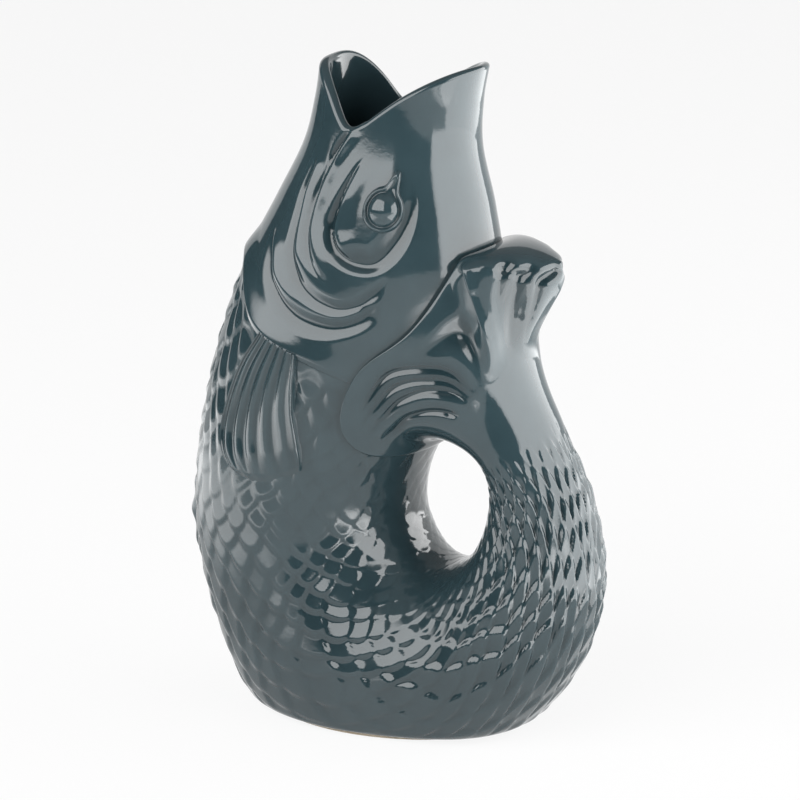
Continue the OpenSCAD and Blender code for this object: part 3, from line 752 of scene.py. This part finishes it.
# Eyes: a ball in a thin raised ring that runs up to a pointed lid, one on each cheek.
# They are modelled on the head and glazed with it.
eye_station, eye_turn = 2.81, 109.0
eye_tall, eye_wide = 0.0098, 0.0086
lid_heading, lid_spread, lid_length = 158.0, 13.0, 0.85
# Share of the ring's radius and height over the cheek in millimetres
eye_profile = np.array([
    (0, 3.7), (0.2, 3.6), (0.4, 3.15), (0.56, 2.4), (0.68, 1.5), (0.75, 0.75), (0.79, 0.35), (0.83, 0.6), (0.87, 1.35),
    (0.91, 1.75), (0.95, 1.65), (1.0, 1.0), (1.05, 0.25), (1.10, -0.6), (1.10, -2.0)])
eye_turns, eye_depth = 96, 0.002


def eye_mesh(name, side):
    """Ball, ring and lid of one eye, on the cheek's folded skin."""
    heading = np.arange(eye_turns) * 360 / eye_turns
    radius, height = eye_profile[1:, 0:1], eye_profile[1:, 1:2] / 1000
    lid = bell(heading - lid_heading, lid_spread)
    stretch = 1 + lid_length * lid * ease((radius - 0.75) / 0.16)
    down, across = radius * stretch * np.cos(np.radians(heading)), radius * stretch * np.sin(np.radians(heading))
    station = eye_station + down * eye_tall / cheek_station
    turn = eye_turn + across * eye_wide / cheek_degree
    angle = 180 + side * turn
    ground = cheek_relief(station, angle)
    middle = np.array([eye_station]), np.array([180 + side * eye_turn])
    middle_ground = cheek_relief(*middle)[0]
    level = middle_ground + (ground - middle_ground) * ease(radius)
    rings = skin(station, angle) + outward(station, angle) * (level + height)[..., None]
    ball_top, sole_middle = (skin(*middle) + outward(*middle) * (middle_ground + h)
                             for h in (eye_profile[0, 1] / 1000, -eye_depth))
    points = np.concatenate([ball_top, rings.reshape(-1, 3), sole_middle])
    j = np.arange(eye_turns)
    k = (j + 1) % eye_turns
    last = 1 + (len(rings) - 1) * eye_turns
    cap = np.stack([np.zeros_like(j), 1 + j, 1 + k], -1)
    sole = np.stack([np.full_like(j, len(points) - 1), last + k, last + j], -1)
    faces = [cap, grid_faces(len(rings), eye_turns, 1), sole]
    faces = [block[:, ::side] for block in faces]
    shade = np.concatenate([[0.3], np.broadcast_to(height * 300 - 0.4, rings.shape[:2]).ravel(), [0]])
    return make_mesh(name, points, faces, {"relief": shade}, glaze)


for name, side in (("eye_left", 1), ("eye_right", -1)):
    add_piece(name + "_piece", eye_mesh(name, side), [name])

# Pectoral fins: a fan of rays behind each gill cover, flat on the breast and fading into it at the end.
# They are part of the cast; the front edge is thin and crisp, the rear edge a thick rounded ridge.
front_shares = np.array([(4.82, 65), (5.30, 59.5), (5.85, 58), (6.30, 59), (6.65, 64), (6.95, 74)])
rear_shares = np.array([(5.02, 85.5), (5.45, 89), (5.80, 93), (6.15, 98.5), (6.50, 104), (6.85, 108)])
fin_bow, fin_rays = 0.20, 6
fin_columns, fin_rows = 84, 110
fin_floor, fin_sunk = 0.003, 0.0012
# Height of the fin's film, its body, its rays and its two edges
film_rise, body_rise, ray_rise, front_rise, rear_rise = 0.0006, 0.0008, 0.0012, 0.0007, 0.0012


def sheet_faces(rows, columns):
    """Quads between open rows of points."""
    i, j = np.meshgrid(np.arange(rows - 1), np.arange(columns - 1), indexing="ij")
    a = i * columns + j
    return np.stack([a, a + 1, a + 1 + columns, a + columns], -1).reshape(-1, 4)


def pectoral_mesh(name, side):
    """One fin, with rays on top, a sole under the breast's skin and a wall round its border."""
    across, along = np.meshgrid(np.linspace(0, 1, fin_columns), np.linspace(0, 1, fin_rows), indexing="xy")
    front, rear = curve(front_shares, along * 5), curve(rear_shares, along * 5)
    place = front + (rear - front) * across[..., None]
    station = place[..., 0] + fin_bow * along ** 2 * np.sin(np.pi * across)
    angle = 180 + side * place[..., 1]
    ends = ease((1 - along) / 0.3)
    wave = 0.5 + 0.5 * np.cos(2 * np.pi * (fin_rays * across ** 0.9))
    front_edge = bell(across, 0.035)
    rear_edge = bell(1 - across - 0.06, 0.075)
    raised = body_rise + ray_rise * wave + front_rise * front_edge + rear_rise * rear_edge
    border = ease(across / 0.02) * ease((1 - across) / 0.05) * ease((1 - along) / 0.12)
    height = -fin_sunk + (film_rise + raised * ends + fin_sunk) * border
    top = skin(station, angle) + outward(station, angle) * height[..., None]
    under = skin(station, angle, -fin_floor)
    points = np.concatenate([top.reshape(-1, 3), under.reshape(-1, 3)])
    sheet = sheet_faces(fin_rows, fin_columns)
    count = fin_rows * fin_columns
    row, column = np.arange(fin_rows) * fin_columns, np.arange(fin_columns)
    border_loop = np.concatenate([column[:-1], row[:-1] + fin_columns - 1, (row[-1] + column)[:0:-1], row[:0:-1]])
    after = np.roll(border_loop, -1)
    wall_faces = np.stack([border_loop, border_loop + count, after + count, after], -1)
    faces = [sheet, sheet[:, ::-1] + count, wall_faces]
    faces = [block[:, ::-side] for block in faces]
    shade = np.concatenate([((wave - 0.6) * ends).ravel(), np.zeros(count)])
    return make_mesh(name, points, faces, {"relief": shade}, glaze)


add_piece("pectoral_left_piece", pectoral_mesh("pectoral_left", 1), ["pectoral_fin_left"])
add_piece("pectoral_right_piece", pectoral_mesh("pectoral_right", -1), ["pectoral_fin_right"])

# Belly fin: a low wavy keel down the middle of the breast.
# It is cast with the body and its edge is rounded by the glaze.
keel_start, keel_end, keel_rise, keel_root, keel_sunk = 7.05, 9.05, 0.011, 0.0052, 0.002
keel_waves, keel_roundness, keel_wave_share = 5, 0.5, 0.07
keel_rows, keel_columns = 90, 25
along = np.linspace(0, 1, keel_rows)[:, None]
profile = np.linspace(-1, 1, keel_columns)
keel_height = keel_rise * np.maximum(np.sin(np.pi * along), 0) ** keel_roundness * (
    1 + keel_wave_share * np.cos(2 * np.pi * keel_waves * along))
keel_station = np.broadcast_to(keel_start + (keel_end - keel_start) * along, (keel_rows, keel_columns))
keel_top = skin(keel_station, 180.0, keel_height * (1 - np.abs(profile) ** 2.2) - keel_sunk)
keel_top[..., 1] += np.sign(profile) * np.abs(profile) ** 0.8 * keel_root * (0.55 + 0.45 * np.sin(np.pi * along))
left_edge = np.arange(keel_rows) * keel_columns
right_edge = left_edge + keel_columns - 1
keel_sole = np.stack([left_edge[:-1], left_edge[1:], right_edge[1:], right_edge[:-1]], -1)
keel_ends = [np.arange(keel_columns)[None, ::-1], (left_edge[-1] + np.arange(keel_columns))[None]]
keel_shade = np.broadcast_to(0.5 * np.cos(2 * np.pi * keel_waves * along), (keel_rows, keel_columns)).ravel()
keel_faces = [sheet_faces(keel_rows, keel_columns), keel_sole] + keel_ends
keel_mesh = make_mesh("belly_keel", keel_top.reshape(-1, 3), keel_faces, {"relief": keel_shade}, glaze)
add_piece("belly_fin_piece", keel_mesh, ["belly_fin"])

# Foot ring: the oval the jug stands on, wiped clean of glaze before firing.
# The bare clay is pale buff, cloudy from the kiln and gritty to the touch.
clay, nodes, link, shader = new_material("bare_clay")
shader.inputs["Roughness"].default_value = 0.85
grit_scale, cloud_scale = (nodes.new("ShaderNodeValue") for _ in range(2))
grit_scale.outputs[0].default_value, cloud_scale.outputs[0].default_value = 1800.0, 60.0
clay_tone = nodes.new("ShaderNodeValToRGB")
clay_tone.color_ramp.elements[0].color = (0.50, 0.40, 0.29, 1)
clay_tone.color_ramp.elements[1].color = (0.70, 0.61, 0.48, 1)
link(noise(clay.node_tree, cloud_scale.outputs[0], 5), clay_tone.inputs["Fac"])
link(clay_tone.outputs["Color"], shader.inputs["Base Color"])
grit = nodes.new("ShaderNodeBump")
grit.inputs["Distance"].default_value = 0.0002
link(noise(clay.node_tree, grit_scale.outputs[0], 3), grit.inputs["Height"])
link(grit.outputs["Normal"], shader.inputs["Normal"])
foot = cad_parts["foot_ring"]
foot.data.materials.clear()
foot.data.materials.append(clay)

# Studio: a sweep of white paper under and round the jug, a large soft box and light panels in the table at either
# side and dark cards that keep the gap between the boxes dark, as in the photograph; the room above is dim.
paper, nodes, link, shader = new_material("paper")
shader.inputs["Base Color"].default_value = (0.88, 0.88, 0.88, 1)
shader.inputs["Roughness"].default_value = 0.9
shader.inputs["Specular IOR Level"].default_value = 0.0
glow = nodes.new("ShaderNodeEmission")
glow.inputs["Strength"].default_value = 1.0
light_path = nodes.new("ShaderNodeLightPath")
seen = light_path.outputs["Is Camera Ray"]
for other in ("Is Glossy Ray", "Is Transmission Ray"):
    either = nodes.new("ShaderNodeMath")
    either.operation = "MAXIMUM"
    link(seen, either.inputs[0])
    link(light_path.outputs[other], either.inputs[1])
    seen = either.outputs[0]
part_glow = nodes.new("ShaderNodeMath")
part_glow.operation = "MULTIPLY"
part_glow.inputs[1].default_value = 0.88
link(seen, part_glow.inputs[0])
blend = nodes.new("ShaderNodeMixShader")
link(part_glow.outputs[0], blend.inputs["Fac"])
link(shader.outputs["BSDF"], blend.inputs[1])
link(glow.outputs["Emission"], blend.inputs[2])
link(blend.outputs["Shader"], nodes["Material Output"].inputs["Surface"])

sweep_radius, sweep_height, sweep_turns = 3.8, 2.2, 64
bend_radius, bend_rings = 0.6, 9
turn = np.arange(sweep_turns) * 2 * np.pi / sweep_turns
circle = np.stack([np.cos(turn), np.sin(turn)], -1)
bend = np.linspace(0, np.pi / 2, bend_rings)[:, None, None]
cove_height = np.broadcast_to(bend_radius * (1 - np.cos(bend)), (bend_rings, sweep_turns, 1))
cove = np.concatenate([(sweep_radius - bend_radius + bend_radius * np.sin(bend)) * circle, cove_height], -1)
wall_top = np.concatenate([sweep_radius * circle, np.full((sweep_turns, 1), sweep_height)], -1)
sweep_points = np.concatenate([[(0, 0, 0)], cove.reshape(-1, 3), wall_top])
j = np.arange(sweep_turns)
disc = np.stack([np.zeros_like(j), 1 + j, 1 + (j + 1) % sweep_turns], -1)
sweep_faces = [disc, grid_faces(bend_rings + 1, sweep_turns, 1)]
sweep = add_object("sweep", make_mesh("sweep", sweep_points, sweep_faces, {}, paper))

world = bpy.data.worlds.new("studio")
bpy.context.scene.world = world
world.use_nodes = True
world.node_tree.nodes["Background"].inputs["Color"].default_value = (0.25, 0.25, 0.25, 1)
light_height, panel_height = 0.16, 0.012


def toward_azimuth(azimuth, distance):
    """A point at the jug's middle height, at an azimuth from its front towards the right."""
    a = math.radians(azimuth)
    return Vector((math.sin(a) * distance, -math.cos(a) * distance, light_height))


def soft_box(name, size, radiance, fade):
    """A rectangular area lamp that fades out over shares of its size at its left, right, lower and upper rim."""
    lamp = bpy.data.lights.new(name, "AREA")
    lamp.shape = "RECTANGLE"
    lamp.size, lamp.size_y = size
    lamp.energy = radiance * math.pi * lamp.size * lamp.size_y
    lamp.use_nodes = True
    nodes, links = lamp.node_tree.nodes, lamp.node_tree.links
    spot = nodes.new("ShaderNodeSeparateXYZ")
    links.new(nodes.new("ShaderNodeNewGeometry").outputs["Parametric"], spot.inputs[0])
    strength = nodes["Emission"].inputs["Strength"]
    for axis, start, width in zip("XXYY", (0, 1, 0, 1), fade):
        rim_fade = nodes.new("ShaderNodeMapRange")
        rim_fade.interpolation_type = "SMOOTHSTEP"
        rim_fade.inputs["From Min"].default_value = start
        rim_fade.inputs["From Max"].default_value = abs(start - width)
        links.new(spot.outputs[axis], rim_fade.inputs["Value"])
        product = nodes.new("ShaderNodeMath")
        product.operation = "MULTIPLY"
        product.inputs[0].default_value = 1
        links.new(rim_fade.outputs["Result"], product.inputs[1])
        links.new(product.outputs[0], strength)
        strength = product.inputs[0]
    return add_object(name, lamp)


def standing_box(name, left, right, low, high, distance, radiance, fade):
    """A soft box that fills a range of azimuths and elevations as seen from the jug."""
    middle = (left + right) / 2
    bottom, top = (distance * math.tan(math.radians(e)) for e in (low, high))
    width = 2 * distance * math.tan(math.radians(right - left) / 2)
    box = soft_box(name, (width, top - bottom), radiance, fade)
    box.location = toward_azimuth(middle, distance) + Vector((0, 0, (bottom + top) / 2))
    box.rotation_euler = (math.pi / 2, 0, math.radians(middle))


def table_panel(name, azimuth, near, far, front, back, radiance, fade):
    """A light panel let into the table beside the jug, out of the picture."""
    panel = soft_box(name, (back - front, far - near), radiance, fade)
    panel.location = toward_azimuth(azimuth, (near + far) / 2) + toward_azimuth(azimuth + 90, (front + back) / 2)
    panel.location.z = panel_height
    panel.rotation_euler = (math.pi, 0, math.radians(azimuth))


# A box: azimuths and elevations in degrees, distance, radiance and fades.
# A panel: azimuth, distances along it and across it, radiance and fades.
standing_box("right_soft_box", 60, 155, -8, 34, 1.05, 3.6, (0.02, 0.02, 0.001, 0.1))
standing_box("left_soft_box", -66, 17, 8.5, 56, 1.35, 3.9, (0.15, 0.05, 0.04, 0.3))
table_panel("right_table_panel", 107.5, 0.20, 1.06, -0.55, 0.12, 3.2, (0.1, 0.001, 0.001, 0.001))
table_panel("back_table_panel", 107.5, 0.30, 1.06, 0.12, 0.90, 3.2, (0.001, 0.1, 0.3, 0.001))
table_panel("front_table_panel", 115, 0.06, 0.75, -0.75, -0.20, 2.4, (0.2, 0.2, 0.3, 0.2))
table_panel("left_table_panel", -70, 0.22, 1.3, -0.6, 0.6, 2.0, (0.2, 0.2, 0.2, 0.2))

card_black, _, _, shader = new_material("black_card")
shader.inputs["Base Color"].default_value = (0.02, 0.02, 0.02, 1)
shader.inputs["Roughness"].default_value = 0.9
card_distance, card_foot, card_top, card_bends = 2.5, 0.02, 2.4, 9
for name, left, right in (("front_card", -60, 63), ("side_card", -112, -60)):
    turn = np.radians(np.linspace(left, right, card_bends))
    arc = np.stack([np.sin(turn), -np.cos(turn)], -1) * card_distance
    card_points = np.concatenate([np.insert(arc, 2, height, axis=1) for height in (card_foot, card_top)])
    card = add_object(name, make_mesh(name, card_points, [sheet_faces(2, card_bends)], {}, card_black))
    card.visible_camera = card.visible_diffuse = card.visible_shadow = False

# Camera at the photograph's angle; the target is shifted so that the jug stands where it does there
azimuth, elevation = math.radians(25), math.radians(15)
flat = math.cos(elevation)
toward = Vector((math.sin(azimuth) * flat, -math.cos(azimuth) * flat, math.sin(elevation)))
camera_distance = 1.824
camera_data = bpy.data.cameras.new("camera")
camera_data.sensor_width = 36
camera_data.lens = 183
camera = add_object("camera", camera_data)
facing = toward.to_track_quat("Z", "Y")
jug_middle, shift_right, shift_up = Vector((0.0086, 0, 0.152)), -0.00314, -0.0069
target = jug_middle + facing @ Vector((shift_right, shift_up, 0))
camera.location = target + toward * camera_distance
camera.rotation_euler = facing.to_euler()
bpy.context.scene.camera = camera
bpy.context.scene.view_settings.view_transform = "Standard"
